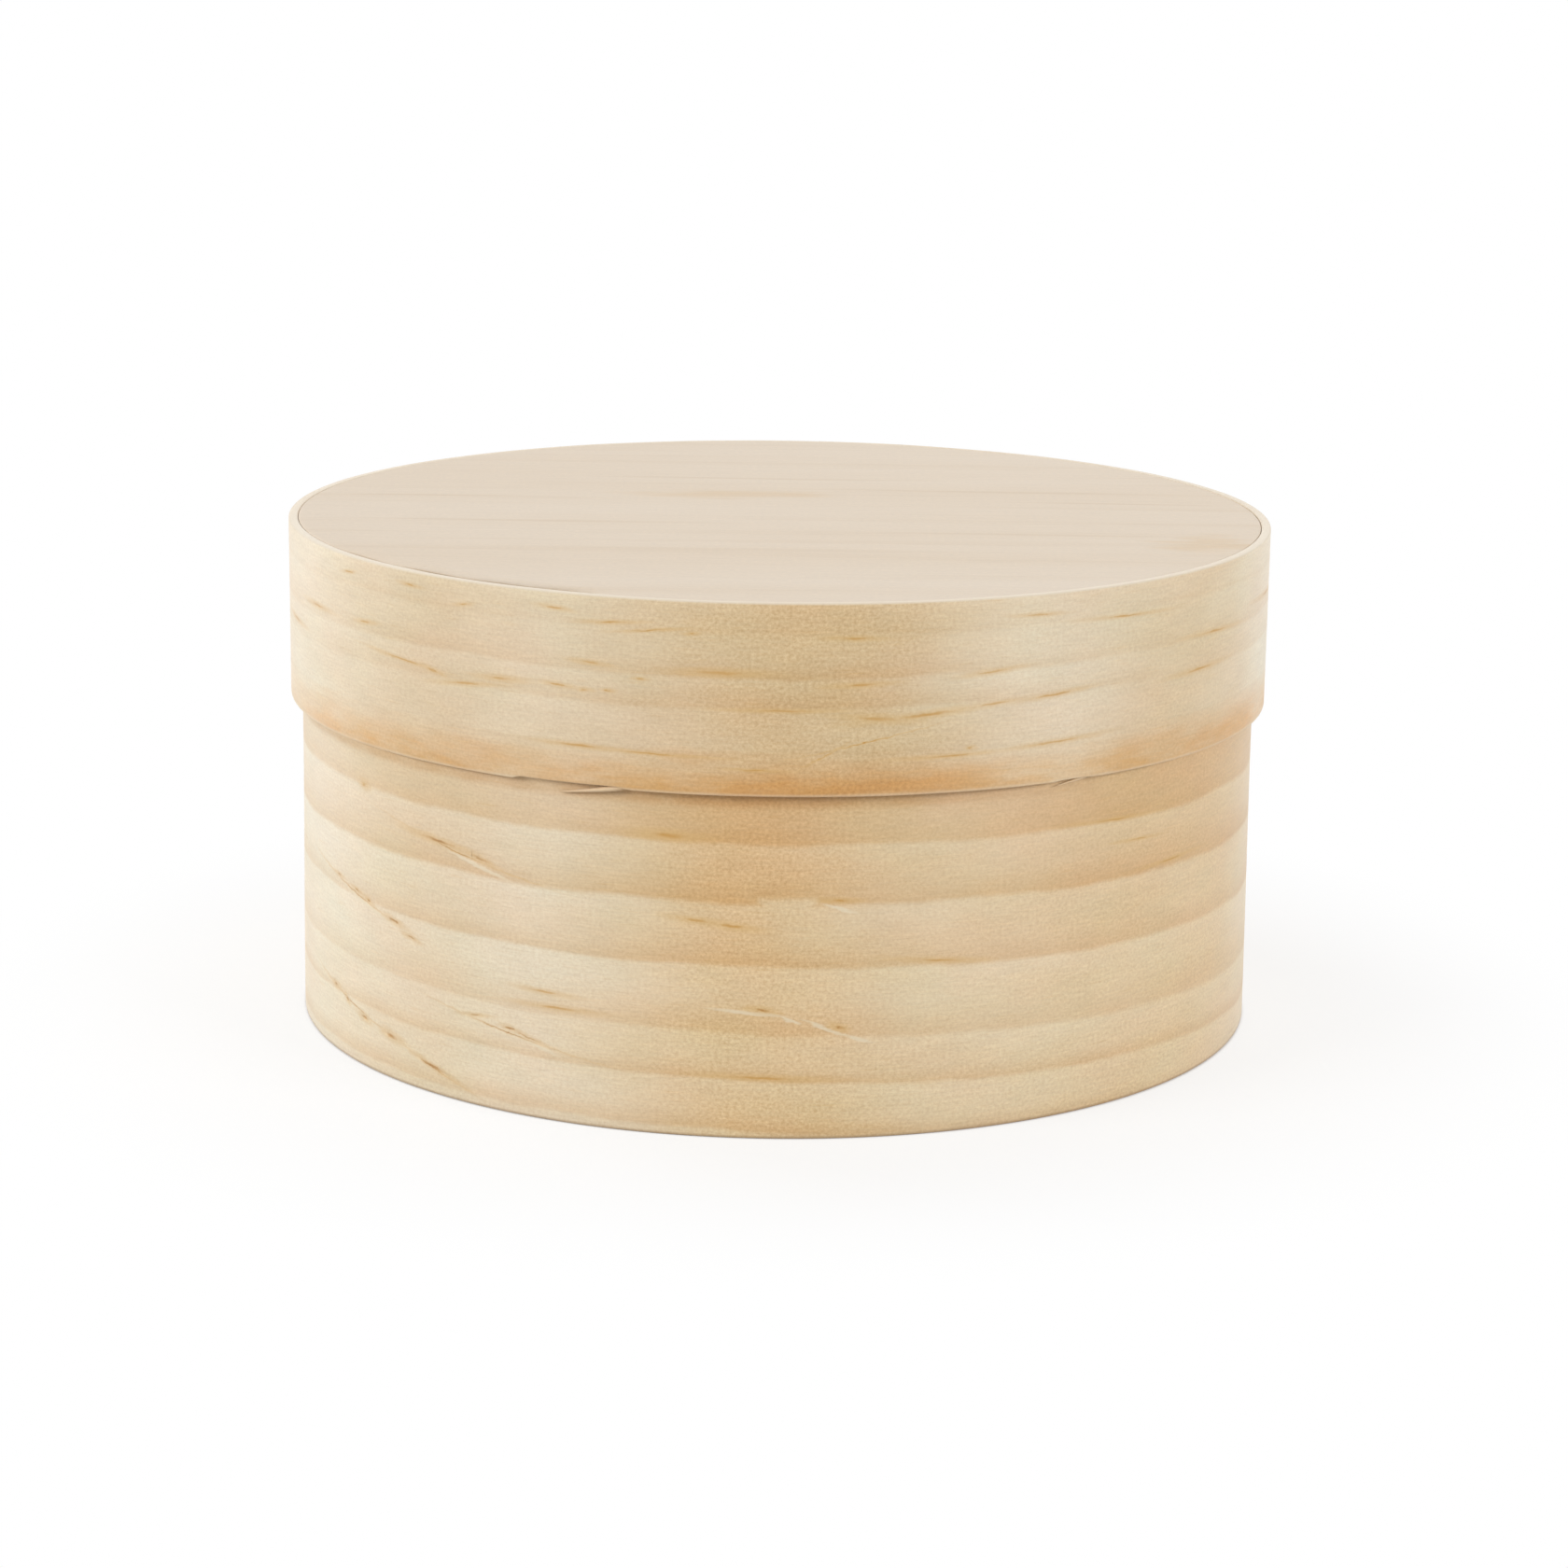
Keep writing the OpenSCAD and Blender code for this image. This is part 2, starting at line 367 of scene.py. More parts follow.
def ring_height(g, plank, shifted, step):
    """Height in the strip's ring pattern: the height itself, bent by the slow waver of the rings."""
    u, depth, z = g.split(plank)
    slow = g.spread(g.noise(shifted, (0.011, 0.05, 0.02), 1.0), 0.0, 1.0, -1.0, 1.0)
    medium = g.spread(g.noise(shifted, (0.06, 0.1, 0.1), 2.0), 0.0, 1.0, -0.65, 0.65)
    fine = g.spread(g.noise(shifted, (0.4, 0.4, 0.6), 2.0), 0.0, 1.0, -0.22, 0.22)
    slope = g.spread(z, 10.0, 55.0, 0.035, 0.0)
    tilt = g.math("MULTIPLY", slope, g.spread(u, -10.0, 95.0, 0.0, 105.0))
    height = g.math("ADD", z, g.math("ADD", g.math("ADD", slow, medium), g.math("ADD", fine, tilt)))
    if step:
        inside = g.spread(nearest_mark(g, plank, (step,), 50.0), 1.1, 0.8, 0.0, RING_STEP_H, "SMOOTHSTEP")
        height = g.math("SUBTRACT", height, inside)
    return height


def shade(g, colour, factor):
    grey = g.add("CombineXYZ", {0: factor, 1: factor, 2: factor}).outputs[0]
    return g.mix(1.0, colour, grey, "MULTIPLY")


def along_strip(g, u, stops):
    """A value that changes smoothly along a strip, given at places along u."""
    place = g.spread(u, -DRIFT_SPAN, DRIFT_SPAN)
    return g.ramp(place, [((at + DRIFT_SPAN) / (2 * DRIFT_SPAN), value) for at, value in stops], "B_SPLINE")


def whiter_and_sheen_tone(g, colour, u, z, shifted, whiter_and_sheen_stops):
    """The slow change to a whiter colour and back along a strip: partly paler wood, partly painted sheen."""
    waver = g.spread(g.noise(shifted, (0.03, 0.05, 0.06), 2.0), 0.0, 1.0, -10.0, 10.0)
    share = along_strip(g, g.math("ADD", u, waver), whiter_and_sheen_stops)
    patch = g.spread(g.noise(shifted, (0.04, 0.2, 0.12), 3.0), 0.3, 0.7, -0.12, 0.12)
    share = g.math("ADD", share, patch, True)
    share = g.math("MULTIPLY", share, g.spread(z, 4.0, 36.0, LOW_WHITER_AND_SHEEN_SHARE, 1.0))
    return g.mix(share, colour, WHITER_WOOD_AND_SHEEN), share


def bent_pine(name, wood, rings, ends, whiter_and_sheen_stops, resin, slits, torn, step, seams, warm, seed):
    """Pine of a bent strip. Its rings run along the strip and show on both faces."""
    material, g = new_material(name)
    plank = g.add("Attribute", attribute_name=PLANK).outputs["Vector"]
    u, depth, z = g.split(plank)
    shifted = g.moved(plank, (311.0 * seed, 0.0, 57.0 * seed))
    foot, top = ends
    low, high = foot - 4.0, top + 4.0
    tone = g.ramp(g.spread(ring_height(g, plank, shifted, step), low, high), ring_stops(rings, low, high))
    fade = g.spread(g.noise(shifted, (0.02, 0.1, 0.06), 2.0), 0.35, 0.65, 0.4 if warm else 0.8, 1.1)
    tone = g.math("MULTIPLY", tone, fade, True)

    fibre = g.noise(shifted, (0.25, 3.0, 3.0), 4.0, 0.6)
    fuzz = g.noise(shifted, (1.8, 3.0, 2.2), 2.0, 0.7)
    mottle = g.noise(shifted, (0.1, 0.3, 0.35), 4.0, 0.6)
    hue = g.noise(shifted, (0.05, 0.1, 0.09), 2.0)
    canal = g.noise(shifted, (0.14, 1.0, 2.2), 2.0, 0.5)

    colour, whiter_and_sheen = whiter_and_sheen_tone(g, wood, u, z, shifted, whiter_and_sheen_stops)
    early_cut = g.math("MULTIPLY", whiter_and_sheen, 0.0 if warm else WHITER_AND_SHEEN_EARLY_CUT)
    tone = g.spread(tone, early_cut, 1.0, 0.0, g.spread(whiter_and_sheen, 0.0, 1.0, 1.0, WHITER_AND_SHEEN_LATE_SHARE))
    colour = g.mix(tone, colour, g.mix(1.0, colour, RING_TINT, "MULTIPLY"))
    if warm:
        edge = g.math("ADD", z, g.spread(g.noise(shifted, (0.05, 0.1, 0.2), 3.0), 0.0, 1.0, -2.6, 2.6))
        glow = g.spread(edge, foot + 6.4, foot + 1.6)
        patch = g.spread(g.noise(shifted, (0.07, 0.1, 0.3), 4.0, 0.65), 0.35, 0.6, 0.6, 1.15)
        glow = g.math("MULTIPLY", glow, along_strip(g, u, LID_GLOW))
        warmth = g.math("MULTIPLY", glow, patch, True)
        colour = g.mix(warmth, colour, g.mix(1.0, colour, WARM_EDGE, "MULTIPLY"))
    colour = g.mix(g.spread(canal, 0.62, 0.8, 0.0, 0.3), colour, RESIN_HALO)
    colour = shade(g, colour, g.spread(fibre, 0.3, 0.7, 0.95, 1.05))
    speckle = g.mix(g.spread(fuzz, 0.25, 0.75), FUZZ_DARK, FUZZ_LIGHT)
    colour = g.mix(g.spread(whiter_and_sheen, 0.0, 0.35, 1.0, 0.5), colour, speckle, "MULTIPLY")
    colour = g.mix(1.0, colour, g.mix(g.spread(hue, 0.35, 0.65), PINKER, YELLOWER), "MULTIPLY")
    colour = shade(g, colour, g.spread(mottle, 0.3, 0.7, 0.965, 1.035))

    ragged = g.noise(shifted, (0.5, 1.0, 1.4), 3.0, 0.6, "Color")
    ragged = g.add("VectorMath", {0: ragged, 1: (0.5, 0.5, 0.5)}, operation="SUBTRACT").outputs[0]
    rough_plank = g.add("VectorMath", {0: g.scaled(ragged, (3.0, 0.0, 0.35)), 1: plank}, operation="ADD").outputs[0]
    streak = nearest_mark(g, rough_plank, resin)
    strength = g.spread(g.noise(shifted, (0.2, 0.3, 0.5), 2.0), 0.3, 0.7, 0.4, 0.9)
    colour = g.mix(g.spread(streak, 3.6, 0.7, 0.0, 0.42, "SMOOTHSTEP"), colour, RESIN_HALO)
    core = g.spread(streak, 1.1, 0.2, 0.0, 1.0, "SMOOTHSTEP")
    colour = g.mix(g.math("MULTIPLY", core, strength), colour, RESIN)
    height = g.math("ADD", g.math("MULTIPLY", fibre, 0.6), g.math("MULTIPLY", fuzz, 0.25))
    if torn:
        lines = nearest_mark(g, rough_plank, path_marks(torn, 0.32))
        colour = g.mix(g.spread(lines, 1.2, 0.4, 0.0, 0.75, "SMOOTHSTEP"), colour, TORN_FIBRE)
    if slits:
        slit = nearest_mark(g, rough_plank, slits)
        colour = g.mix(g.spread(slit, 3.0, 0.9, 0.0, 0.4, "SMOOTHSTEP"), colour, RESIN_HALO)
        core = g.spread(slit, 1.0, 0.2, 0.0, 1.0, "SMOOTHSTEP")
        colour = g.mix(g.math("MULTIPLY", core, strength), colour, SLIT)
        middle = g.spread(slit, 0.6, 0.15, 0.0, 0.45, "SMOOTHSTEP")
        colour = g.mix(g.math("MULTIPLY", middle, strength), colour, SLIT_MIDDLE)

    from_seam = g.math("MINIMUM", *(g.math("ABSOLUTE", g.math("SUBTRACT", u, at)) for at in seams))
    outside = g.spread(depth, 0.6, 0.3)
    stain = g.math("MULTIPLY", g.spread(from_seam, 1.5, 0.1, 0.0, 0.55, "SMOOTHSTEP"), strength)
    stain = g.math("MULTIPLY", stain, outside)
    colour = g.mix(stain, colour, GLUE_STAIN)
    if not warm:
        # Painted shadow: a warm brown band on the body's outer face just under the lid's lower edge, fading out
        # towards the right, in place of the lid's shadow.
        from_lid_shadow = g.math("ABSOLUTE", g.math("SUBTRACT", z, LID_SHADOW_Z))
        lid_shadow = g.math("MULTIPLY", g.spread(from_lid_shadow, 1.6, 0.4, 0.0, 1.4, "SMOOTHSTEP"), strength, True)
        lid_shadow = g.math("MULTIPLY", g.math("MULTIPLY", lid_shadow, outside), g.spread(u, 15.0, 50.0, 1.0, 0.0))
        colour = g.mix(lid_shadow, colour, g.mix(1.0, colour, PAINTED_LID_SHADOW, "MULTIPLY"))
    rim = g.spread(z, top - 0.3, top - 0.08)
    colour = g.mix(g.math("MULTIPLY", rim, 0.8), colour, RIM_TOP)
    # Painted highlight: a pale line along the lid's lower edge, where its eased edge catches the light.
    # Painted shade: a brown line along the body's lower edge, for the shadow where it stands on the floor.
    colour = g.mix(g.spread(z, foot + 0.55, foot + 0.25, 0.0, 0.3 if warm else 0.5), colour, LID_FOOT_HIGHLIGHT if warm else BODY_FOOT_SHADE)
    roughness = g.math("ADD", g.spread(fuzz, 0.3, 0.7, 0.44, 0.56), g.math("MULTIPLY", rim, 0.36))
    finish_wood(g, colour, roughness, height, 0.06, 0.55, 0.2, 0.8)
    return material


def disc_pine(name, streaks, grain, seed):
    """Pine of a flat disc. Its grain runs along x, in faint straight lines."""
    material, g = new_material(name)
    plank = g.add("Attribute", attribute_name=PLANK).outputs["Vector"]
    shifted = g.moved(plank, (173.0 * seed, 0.0, 91.0 * seed))
    slow = g.noise(shifted, (0.006, 0.02, 0.05), 2.0)
    lines = g.noise(shifted, (0.009, 0.3, 0.22), 3.0, 0.55)
    fibre = g.noise(shifted, (0.12, 2.0, 2.6), 3.0, 0.6)
    fuzz = g.noise(shifted, (1.2, 2.0, 2.0), 2.0, 0.6)
    colour = g.mix(g.spread(slow, 0.35, 0.7, 0.0, 0.5), DISC_PALE, DISC_DARKER)
    colour = g.mix(g.spread(lines, 0.52, 0.75, 0.0, 0.3), colour, DISC_LINE)
    ragged = g.noise(shifted, (0.05, 0.2, 0.25), 3.0, 0.6, "Color")
    ragged = g.add("VectorMath", {0: ragged, 1: (0.5, 0.5, 0.5)}, operation="SUBTRACT").outputs[0]
    rough_plank = g.add("VectorMath", {0: g.scaled(ragged, (30.0, 0.0, 8.0)), 1: plank}, operation="ADD").outputs[0]
    warm = nearest_mark(g, rough_plank, streaks, 6.0)
    colour = g.mix(g.spread(warm, 1.3, 0.2, 0.0, 0.45, "SMOOTHSTEP"), colour, DISC_WARM)
    rough_line = g.add("VectorMath", {0: g.scaled(ragged, (20.0, 0.0, 2.0)), 1: plank}, operation="ADD").outputs[0]
    line = nearest_mark(g, rough_line, grain, 6.0)
    colour = g.mix(g.spread(line, 1.4, 0.2, 0.0, 0.4, "SMOOTHSTEP"), colour, DISC_LINE)
    colour = shade(g, colour, g.spread(fibre, 0.3, 0.7, 0.97, 1.03))
    colour = shade(g, colour, g.spread(fuzz, 0.25, 0.75, 0.95, 1.05))
    # The disc's side is darker: partly its end grain, partly painted shade of the narrow gap round it.
    depth = g.split(plank)[1]
    thickness = 4.0
    edge = g.math("MULTIPLY", g.spread(depth, 0.1, 0.3), g.spread(depth, thickness - 0.1, thickness - 0.3))
    colour = g.mix(g.math("MULTIPLY", edge, 0.9), colour, DISC_EDGE_GRAIN_AND_SHADE)
    height = g.math("MULTIPLY", g.math("ADD", fibre, fuzz), 0.5)
    finish_wood(g, colour, g.spread(fuzz, 0.3, 0.7, 0.6, 0.75), height, 0.05, 0.35, 0.0, 0.0)
    return material


def corner(x, z, r, start, steps):
    """Points of a quarter of a circle, in order, from the start direction in degrees."""
    points = []
    for k in range(steps + 1):
        a = math.radians(start + 90.0 * k / steps)
        points.append((x + r * math.cos(a), z + r * math.sin(a)))
    return points


def strip_section(outer_r, inner_r, low, high, edge_r, rows_out, rows_in, steps=3):
    """Points round the section of a strip, as (radius, z), from the foot of its outer face upwards."""
    edge_r = min(edge_r, 0.4 * (outer_r - inner_r))
    top, foot = high - edge_r, low + edge_r
    points = [(outer_r, foot + (top - foot) * k / rows_out) for k in range(rows_out)]
    points += corner(outer_r - edge_r, top, edge_r, 0.0, steps)
    points += corner(inner_r + edge_r, top, edge_r, 90.0, steps)
    points += [(inner_r, top + (foot - top) * k / rows_in) for k in range(1, rows_in)]
    points += corner(inner_r + edge_r, foot, edge_r, 180.0, steps)
    points += corner(outer_r - edge_r, foot, edge_r, 270.0, steps)[:-1]
    return points


def column_places(length, lap, step):
    """Places along a strip at which its section is set, with a pair at each joint of the lap."""
    places = []
    ends = ((0.0, lap - LAP_GAP / 2), (lap + LAP_GAP / 2, length - lap - LAP_GAP / 2),
            (length - lap + LAP_GAP / 2, length))
    for start, end in ends:
        count = max(2, round((end - start) / step))
        places += [start + (end - start) * k / count for k in range(count + 1)]
    return places


def joint_at(s, length, lap):
    """1 at the columns that meet at a lap's outer joint, 2 at those of its inner joint, and 0 elsewhere."""
    if min(abs(s - lap), abs(s - length)) < LAP_GAP:
        return 1
    if min(abs(s - (length - lap)), abs(s)) < LAP_GAP:
        return 2
    return 0


def ragged_end(joint, z):
    """How far the hand-cut end of a strip departs from a straight line, at a height."""
    return LAP_RAGGED * (wave(8 + joint, 0.16 * z) + 0.35 * wave(10 + joint, 1.1 * z))


def seam_places(lap, radius):
    """Where the outer joint of a lap lies along its strip: at the strip's one end, and near the other."""
    angle = lap["direction"] + math.degrees(lap["length"] / radius) / 2
    return math.radians(angle - FRONT) * radius, math.radians(angle + TURN - FRONT) * radius


def splinter(mark, radius, bend, first):
    """A sliver of wood still held at its root: points, plank coordinates and faces."""
    root_u, root_z, tip_u, tip_z, half = mark
    steps, sides = 14, 6
    points, planks, faces = [], [], []
    for k in range(steps + 1):
        share = k / steps
        u = root_u + (tip_u - root_u) * share
        middle_z = root_z + (tip_z - root_z) * share ** 0.8
        middle_depth = 0.75 + 0.3 * share
        size = half * (1.0 - 0.85 * share) * (1.0 + 0.25 * wave(6, 2.0 * share, root_u))
        turn = math.radians(FRONT) + u / radius
        for j in range(sides):
            a = 2 * math.pi * j / sides
            z = middle_z + size * math.sin(a)
            depth = middle_depth - 1.3 * size * math.cos(a)
            r = radius - depth + bend(turn, z)
            points.append((r * math.cos(turn), r * math.sin(turn), z))
            planks.append((u, depth, z))
    for k in range(steps):
        for j in range(sides):
            n = (j + 1) % sides
            ring = (k * sides + j, k * sides + n, (k + 1) * sides + n, (k + 1) * sides + j)
            faces.append(tuple(first + v for v in ring))
    faces.append(tuple(first + v for v in reversed(range(sides))))
    faces.append(tuple(first + steps * sides + v for v in range(sides)))
    return points, planks, faces


def lapped_hoop(name, node, lap, rows_out, rows_in, step, shape, slits=(), torn=(), splinters=()):
    """A strip bent into a hoop whose thinned ends lie over each other, in the place of a CAD node."""
    low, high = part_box(node)
    radius, foot, top = high.x / MM, low.z / MM, high.z / MM
    bore = radius - STRIP_T
    start = lap["direction"] - math.degrees(lap["length"] / radius) / 2
    length = 2 * math.pi * radius + lap["length"]
    rise = STRIP_T - 2 * LAP_TIP_T - LAP_GLUE
    columns = column_places(length, lap["length"], step)
    points, planks = [], []
    for s in columns:
        angle = start + math.degrees(s / radius)
        into_start = s / lap["length"]
        into_end = (s - (length - lap["length"])) / lap["length"]
        outer_r, inner_r = radius, bore
        if into_start < 1.0:
            outer_r = bore + LAP_TIP_T + rise * into_start
        if into_end > 0.0:
            inner_r = bore + LAP_TIP_T + LAP_GLUE + rise * into_end
        joint = joint_at(s, length, lap["length"])
        u = math.radians(angle - FRONT) * radius
        dip, lift = shape["top_edge"](u), shape["low_edge"](u)
        for r, z in strip_section(outer_r, inner_r, foot + lift, top - dip, STRIP_EDGE_R, rows_out, rows_in):
            slip = ragged_end(joint, z) if joint else 0.0
            turn = math.radians(angle) + slip / radius
            bend = shape["bend"](turn, z)
            depth = radius - r
            swell = shape["flare"](z) * (1.0 - depth / STRIP_T)
            points.append(((r + bend + swell) * math.cos(turn), (r + bend + swell) * math.sin(turn), z))
            planks.append((u + slip, depth, z))
    count = len(points) // len(columns)
    faces = []
    for i in range(len(columns) - 1):
        for j in range(count):
            k = (j + 1) % count
            faces.append((i * count + j, (i + 1) * count + j, (i + 1) * count + k, i * count + k))
    last = (len(columns) - 1) * count
    faces.append(tuple(reversed(range(count))))
    faces.append(tuple(range(last, last + count)))
    place = strip_map(columns, list(planks), count, length)
    for mark in splinters:
        more_points, more_planks, more_faces = splinter(mark, radius, shape["bend"], len(points))
        points += more_points
        planks += more_planks
        faces += more_faces
    return wood_mesh(name, points, planks, faces, place, slits, torn)


def strip_map(columns, planks, count, length):
    """Bake map of a strip: it is cut in half across, and the halves lie above each other."""
    perimeter = [0.0]
    for j in range(count):
        a, b = planks[(len(columns) // 2) * count + j], planks[(len(columns) // 2) * count + (j + 1) % count]
        perimeter.append(perimeter[-1] + math.hypot(b[1] - a[1], b[2] - a[2]))
    half = len(columns) // 2

    def place(face):
        beyond = min(face) - len(planks)
        if beyond >= 0:
            return [(0.01 + 0.004 * (v - len(planks)), 0.985 + 0.012 * (k // 2 % 2)) for k, v in enumerate(face)]
        if len(face) != 4:
            return [(0.995 + 0.004 * (v % 2), 0.9 + 0.0001 * k) for k, v in enumerate(face)]
        i, j = face[0] // count, face[0] % count
        row = 0 if i < half else 1
        base = columns[0] if row == 0 else columns[half]
        corners = ((i, j), (i + 1, j), (i + 1, j + 1), (i, j + 1))
        return [(0.005 + 0.98 * (columns[a] - base) / (length / 2 + 2.0),
                 0.005 + 0.495 * row + 0.48 * perimeter[b] / perimeter[-1]) for a, b in corners]
    return place


def path_distance(path, u, z):
    best = None
    for (u0, z0), (u1, z1) in zip(path, path[1:]):
        run, rise = u1 - u0, z1 - z0
        t = min(max(((u - u0) * run + (z - z0) * rise) / (run * run + rise * rise), 0.0), 1.0)
        distance = math.hypot(u - u0 - t * run, z - z0 - t * rise)
        best = distance if best is None else min(best, distance)
    return best


def roughen(bm, plank_layer, slits, torn):
    """Refines the mesh along the marks of a strip, sinks its slits and raises its torn fibre."""
    grooves = [(((u0, z0), (u1, z1)), SLIT_DEPTH * half_width / SLIT_WIDEST) for u0, z0, u1, z1, half_width in slits]
    for path in list(torn) + [path for path, sink in grooves]:
        for reach in (1.5, 0.8):
            near = set()
            for vert in bm.verts:
                u, depth, z = vert[plank_layer]
                if depth < OUTER_DEPTH and path_distance(path, u, z) < reach:
                    near.add(vert)
            edges = [e for e in bm.edges if e.verts[0] in near and e.verts[1] in near]
            bmesh.ops.subdivide_edges(bm, edges=edges, cuts=1, use_grid_fill=True)
    for vert in bm.verts:
        u, depth, z = vert[plank_layer]
        if depth > OUTER_DEPTH:
            continue
        rough = 0.75 + 0.5 * wave(5, 1.3 * u, 1.7 * z)
        step = 0.0
        for path in torn:
            step = max(step, TORN_H * rough * smooth_step(0.7, 0.0, path_distance(path, u, z)))
        for path, sink in grooves:
            step -= sink * rough * max(0.0, 1.0 - path_distance(path, u, z) / 0.4)
        if step:
            vert.co += Vector((vert.co.x, vert.co.y, 0.0)).normalized() * step * MM


def wood_mesh(name, points, planks, faces, place, slits=(), torn=()):
    """An object from points in millimetres, with its flat plank coordinates and its bake map."""
    bm = bmesh.new()
    plank_layer = bm.verts.layers.float_vector.new(PLANK)
    map_layer = bm.loops.layers.uv.new(BAKE_MAP)
    for point, plank in zip(points, planks):
        vert = bm.verts.new(Vector(point) * MM)
        vert[plank_layer] = plank
    bm.verts.ensure_lookup_table()
    for face in faces:
        made = bm.faces.new([bm.verts[k] for k in face])
        made.smooth = True
        for loop, uv in zip(made.loops, place(face)):
            loop[map_layer].uv = uv
    if slits or torn:
        roughen(bm, plank_layer, slits, torn)
    mesh = bpy.data.meshes.new(name)
    bm.to_mesh(mesh)
    bm.free()
    piece = bpy.data.objects.new(name, mesh)
    bpy.context.scene.collection.objects.link(piece)
    return piece


def disc_rings(radius, low, high, edge_r, rings, steps=3):
    """Outline of a disc from the middle of its top over the edge to the middle of its underside."""
    flat = radius - edge_r
    outline = [(flat * k / rings, high) for k in range(1, rings)]
    outline.append((flat - DISC_EDGE_BAND, high))
    outline += reversed(corner(flat, high - edge_r, edge_r, 0.0, steps))
    outline += reversed(corner(flat, low + edge_r, edge_r, 270.0, steps))
    outline.append((flat - DISC_EDGE_BAND, low))
    outline += [(flat * k / rings, low) for k in range(rings - 1, 0, -1)]
    return outline


def wood_disc(name, node, columns, rings, shape):
    """A flat disc with eased edges, in the place of a CAD node."""
    low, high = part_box(node)
    radius, foot, top = high.x / MM, low.z / MM, high.z / MM
    flat = radius - DISC_EDGE_R
    outline = disc_rings(radius, foot, top, DISC_EDGE_R, rings)
    points, planks = [(0.0, 0.0, top - shape["sink"](0.0, 0.0))], [(0.0, 0.0, 0.0)]
    for r, z in outline:
        for k in range(columns):
            turn = 2 * math.pi * k / columns
            worn = shape["gap"](turn) * smooth_step(flat - DISC_EDGE_BAND, flat, r)
            x, y = (r - worn) * math.cos(turn), (r - worn) * math.sin(turn)
            dip = chip = 0.0
            if z > (foot + top) / 2:
                dip, chip = shape["sink"](turn, r / radius), EDGE_CHIP * worn
            points.append((x, y, z - dip - chip))
            planks.append((x, top - z + chip, y))
    points.append((0.0, 0.0, foot))
    planks.append((0.0, top - foot, 0.0))
    faces = []
    final = len(points) - 1
    for k in range(columns):
        n = (k + 1) % columns
        faces.append((0, 1 + k, 1 + n))
        for ring in range(len(outline) - 1):
            a, b = 1 + ring * columns, 1 + (ring + 1) * columns
            faces.append((a + k, b + k, b + n, a + n))
        a = 1 + (len(outline) - 1) * columns
        faces.append((a + k, final, a + n))
    middle = 1 + (len(outline) // 2) * columns

    def place(face):
        under = max(face) >= middle
        centre = 0.75 if under else 0.25
        spots = []
        for v in face:
            x, depth, y = planks[v]
            spots.append((centre + 0.24 * x / radius, 0.25 + 0.24 * y / radius))
        return spots
    return wood_mesh(name, points, planks, faces, place)


def dress(piece, node, body, material):
    piece.data.materials.append(material)
    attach(piece, body)
    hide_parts(node)


def make_box():
    body_shape = {
        "top_edge": lambda u: 0.1 + 0.1 * wave(1, 0.05 * u),
        "low_edge": lambda u: 0.03 + 0.03 * wave(2, 0.06 * u),
        "bend": lambda turn, z: -0.05 + 0.03 * math.sin(2 * turn + 0.6) + 0.02 * math.sin(3 * turn),
        "flare": lambda z: 0.3 * smooth_step(46.0, 0.0, z),
    }

    def notch(u):
        return sum(height * smooth_step(start, start + 1.2, u) * smooth_step(end + 1.5, end - 1.5, u)
                   for start, end, height in LID_NOTCHES)

    lid_shape = {
        "top_edge": lambda u: 0.03 + 0.03 * wave(3, 0.08 * u),
        "low_edge": lambda u: 0.03 + 0.05 * wave(4, 0.07 * u) + notch(u),
        "bend": lambda turn, z: -0.05 + 0.03 * math.sin(2 * turn + 2.1) + 0.02 * math.sin(5 * turn),
        "flare": lambda z: 0.0,
    }
    body_seams = seam_places(BODY_LAP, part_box("body_hoop")[1].x / MM)
    body_pine = bent_pine("body_pine", BODY_WOOD, BODY_RINGS, (0.0, 72.5), BODY_WHITER_AND_SHEEN, BODY_RESIN, BODY_SLITS, BODY_TORN,
                          BODY_RING_STEP, body_seams, False, 1)
    lid_seams = seam_places(LID_LAP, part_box("lid_hoop")[1].x / MM)
    lid_pine = bent_pine("lid_pine", LID_WOOD_AND_SHADE, LID_RINGS, (49.5, 76.5), LID_WHITER_AND_SHEEN, LID_RESIN, (), (), None, lid_seams,
                         True, 2)
    body = lapped_hoop("body_hoop_wood", "body_hoop", BODY_LAP, 40, 12, 1.15, body_shape, BODY_SLITS, BODY_TORN)
    dress(body, "body_hoop", "base", body_pine)
    lid = lapped_hoop("lid_hoop_wood", "lid_hoop", LID_LAP, 22, 9, 1.15, lid_shape, splinters=LID_SPLINTERS)
    dress(lid, "lid_hoop", "lid", lid_pine)

    def open_joint(turn):
        degrees = math.degrees(turn) % TURN
        reach = smooth_step(196.0, 236.0, degrees) * smooth_step(256.0, 246.0, degrees)
        return 0.75 * reach * (1.0 + 0.7 * wave(7, 9.0 * turn))

    top = wood_disc("lid_disc_wood", "lid_disc", 220, 18,
                    {"gap": open_joint, "sink": lambda turn, share: 0.05 + 0.05 * share * math.sin(turn + 2.2)})
    dress(top, "lid_disc", "lid", disc_pine("lid_disc_pine", LID_DISC_STREAKS, LID_DISC_LINES, 1))
    bottom = wood_disc("bottom_disc_wood", "bottom_disc", 220, 18,
                       {"gap": lambda turn: 0.0, "sink": lambda turn, share: 0.0})
    bottom_pine = disc_pine("bottom_disc_pine", BOTTOM_DISC_STREAKS, BOTTOM_DISC_LINES, 2)
    dress(bottom, "bottom_disc", "base", bottom_pine)


